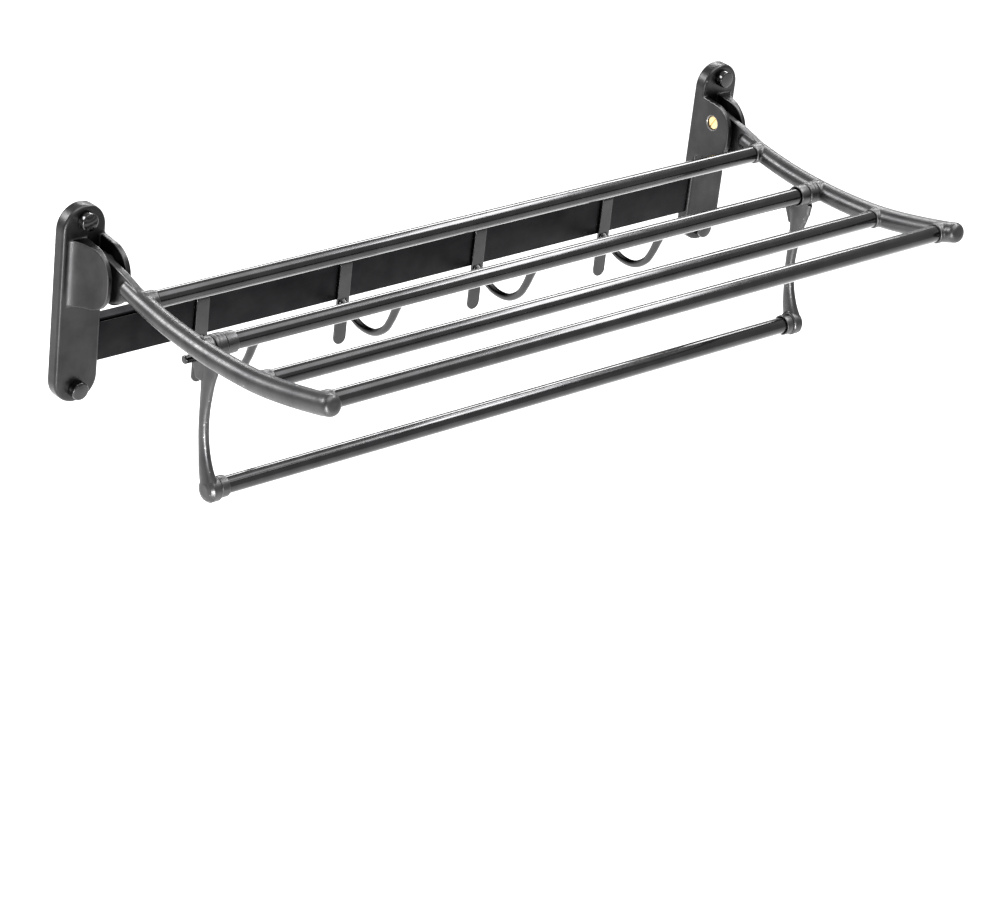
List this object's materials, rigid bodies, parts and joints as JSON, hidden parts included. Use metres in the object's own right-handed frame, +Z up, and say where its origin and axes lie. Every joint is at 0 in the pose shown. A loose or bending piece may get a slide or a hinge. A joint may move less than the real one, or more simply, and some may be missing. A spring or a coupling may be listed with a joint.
{
  "type": "wall mounted fold down drying rack",
  "caption": "Wall rack for a bathroom: a barred shelf that folds up on side brackets, a swinging towel bar below it, and hooks that slide on a back rail.",
  "frame": {"origin": "a point on the wall plane, halfway between the two bracket plates and halfway up them", "axes": "+X along the wall to the right as seen from the room, +Y into the wall, +Z up; the rack stands out towards -Y"},
  "size_m": [0.6, 0.2607, 0.1613],
  "materials": {
    "satin_black": "satin black coating on cast aluminium, finely brushed",
    "gloss_black": "semi-gloss black coating",
    "rail_black": "matte black anodised extrusion",
    "brass": "plain turned brass",
    "plain_steel": "plain zinc plated steel",
    "black_nylon": "matte black nylon"
  },
  "bodies": {
    "wall_frame": {"bracket_left": "satin_black", "bracket_right": "satin_black", "mount_screw_left_lower": "plain_steel", "mount_screw_left_upper": "plain_steel", "mount_screw_right_lower": "plain_steel", "mount_screw_right_upper": "plain_steel", "screw_cap_left_lower": "gloss_black", "screw_cap_left_upper": "gloss_black", "screw_cap_right_lower": "gloss_black", "screw_cap_right_upper": "gloss_black", "pivot_screw_left": "brass", "pivot_screw_right": "brass", "pivot_washer_left_inner": "black_nylon", "pivot_washer_left_outer": "black_nylon", "pivot_washer_right_inner": "black_nylon", "pivot_washer_right_outer": "black_nylon", "hook_rail": "rail_black", "rail_screw_left": "plain_steel", "rail_screw_right": "plain_steel"},
    "shelf": {"arm_left": "satin_black", "arm_right": "satin_black", "shelf_bar_1": "gloss_black", "shelf_bar_2": "gloss_black", "shelf_bar_3": "gloss_black", "shelf_bar_4": "gloss_black", "bar_collar_left": "satin_black", "bar_collar_right": "satin_black", "collar_screw_left": "plain_steel", "collar_screw_right": "plain_steel"},
    "towel_hanger": {"hanger_left": "satin_black", "hanger_right": "satin_black", "stop_pin_left": "gloss_black", "stop_pin_right": "gloss_black", "towel_bar": "gloss_black", "towel_bar_ferrule_left": "satin_black", "towel_bar_ferrule_right": "satin_black"},
    "hook_1_slide": {"hook_1": "gloss_black"},
    "hook_2_slide": {"hook_2": "gloss_black"},
    "hook_3_slide": {"hook_3": "gloss_black"},
    "hook_4_slide": {"hook_4": "gloss_black"}
  },
  "joints": [
    {"name": "shelf_fold", "type": "hinge", "parent": "wall_frame", "child": "shelf", "pos_m": [0, -0.0218, 0.0317], "axis": [-1, 0, 0], "range_deg": [0, 90]},
    {"name": "towel_bar_swing", "type": "hinge", "parent": "shelf", "child": "towel_hanger", "pos_m": [0, -0.1275, 0.0174], "axis": [-1, 0, 0], "range_deg": [-12, 75]},
    {"name": "hook_1_travel", "type": "slide", "parent": "wall_frame", "child": "hook_1_slide", "axis": [1, 0, 0], "range_m": [-0.05, 0.05]},
    {"name": "hook_2_travel", "type": "slide", "parent": "wall_frame", "child": "hook_2_slide", "axis": [1, 0, 0], "range_m": [-0.05, 0.05]},
    {"name": "hook_3_travel", "type": "slide", "parent": "wall_frame", "child": "hook_3_slide", "axis": [1, 0, 0], "range_m": [-0.05, 0.05]},
    {"name": "hook_4_travel", "type": "slide", "parent": "wall_frame", "child": "hook_4_slide", "axis": [1, 0, 0], "range_m": [-0.05, 0.05]}
  ]
}
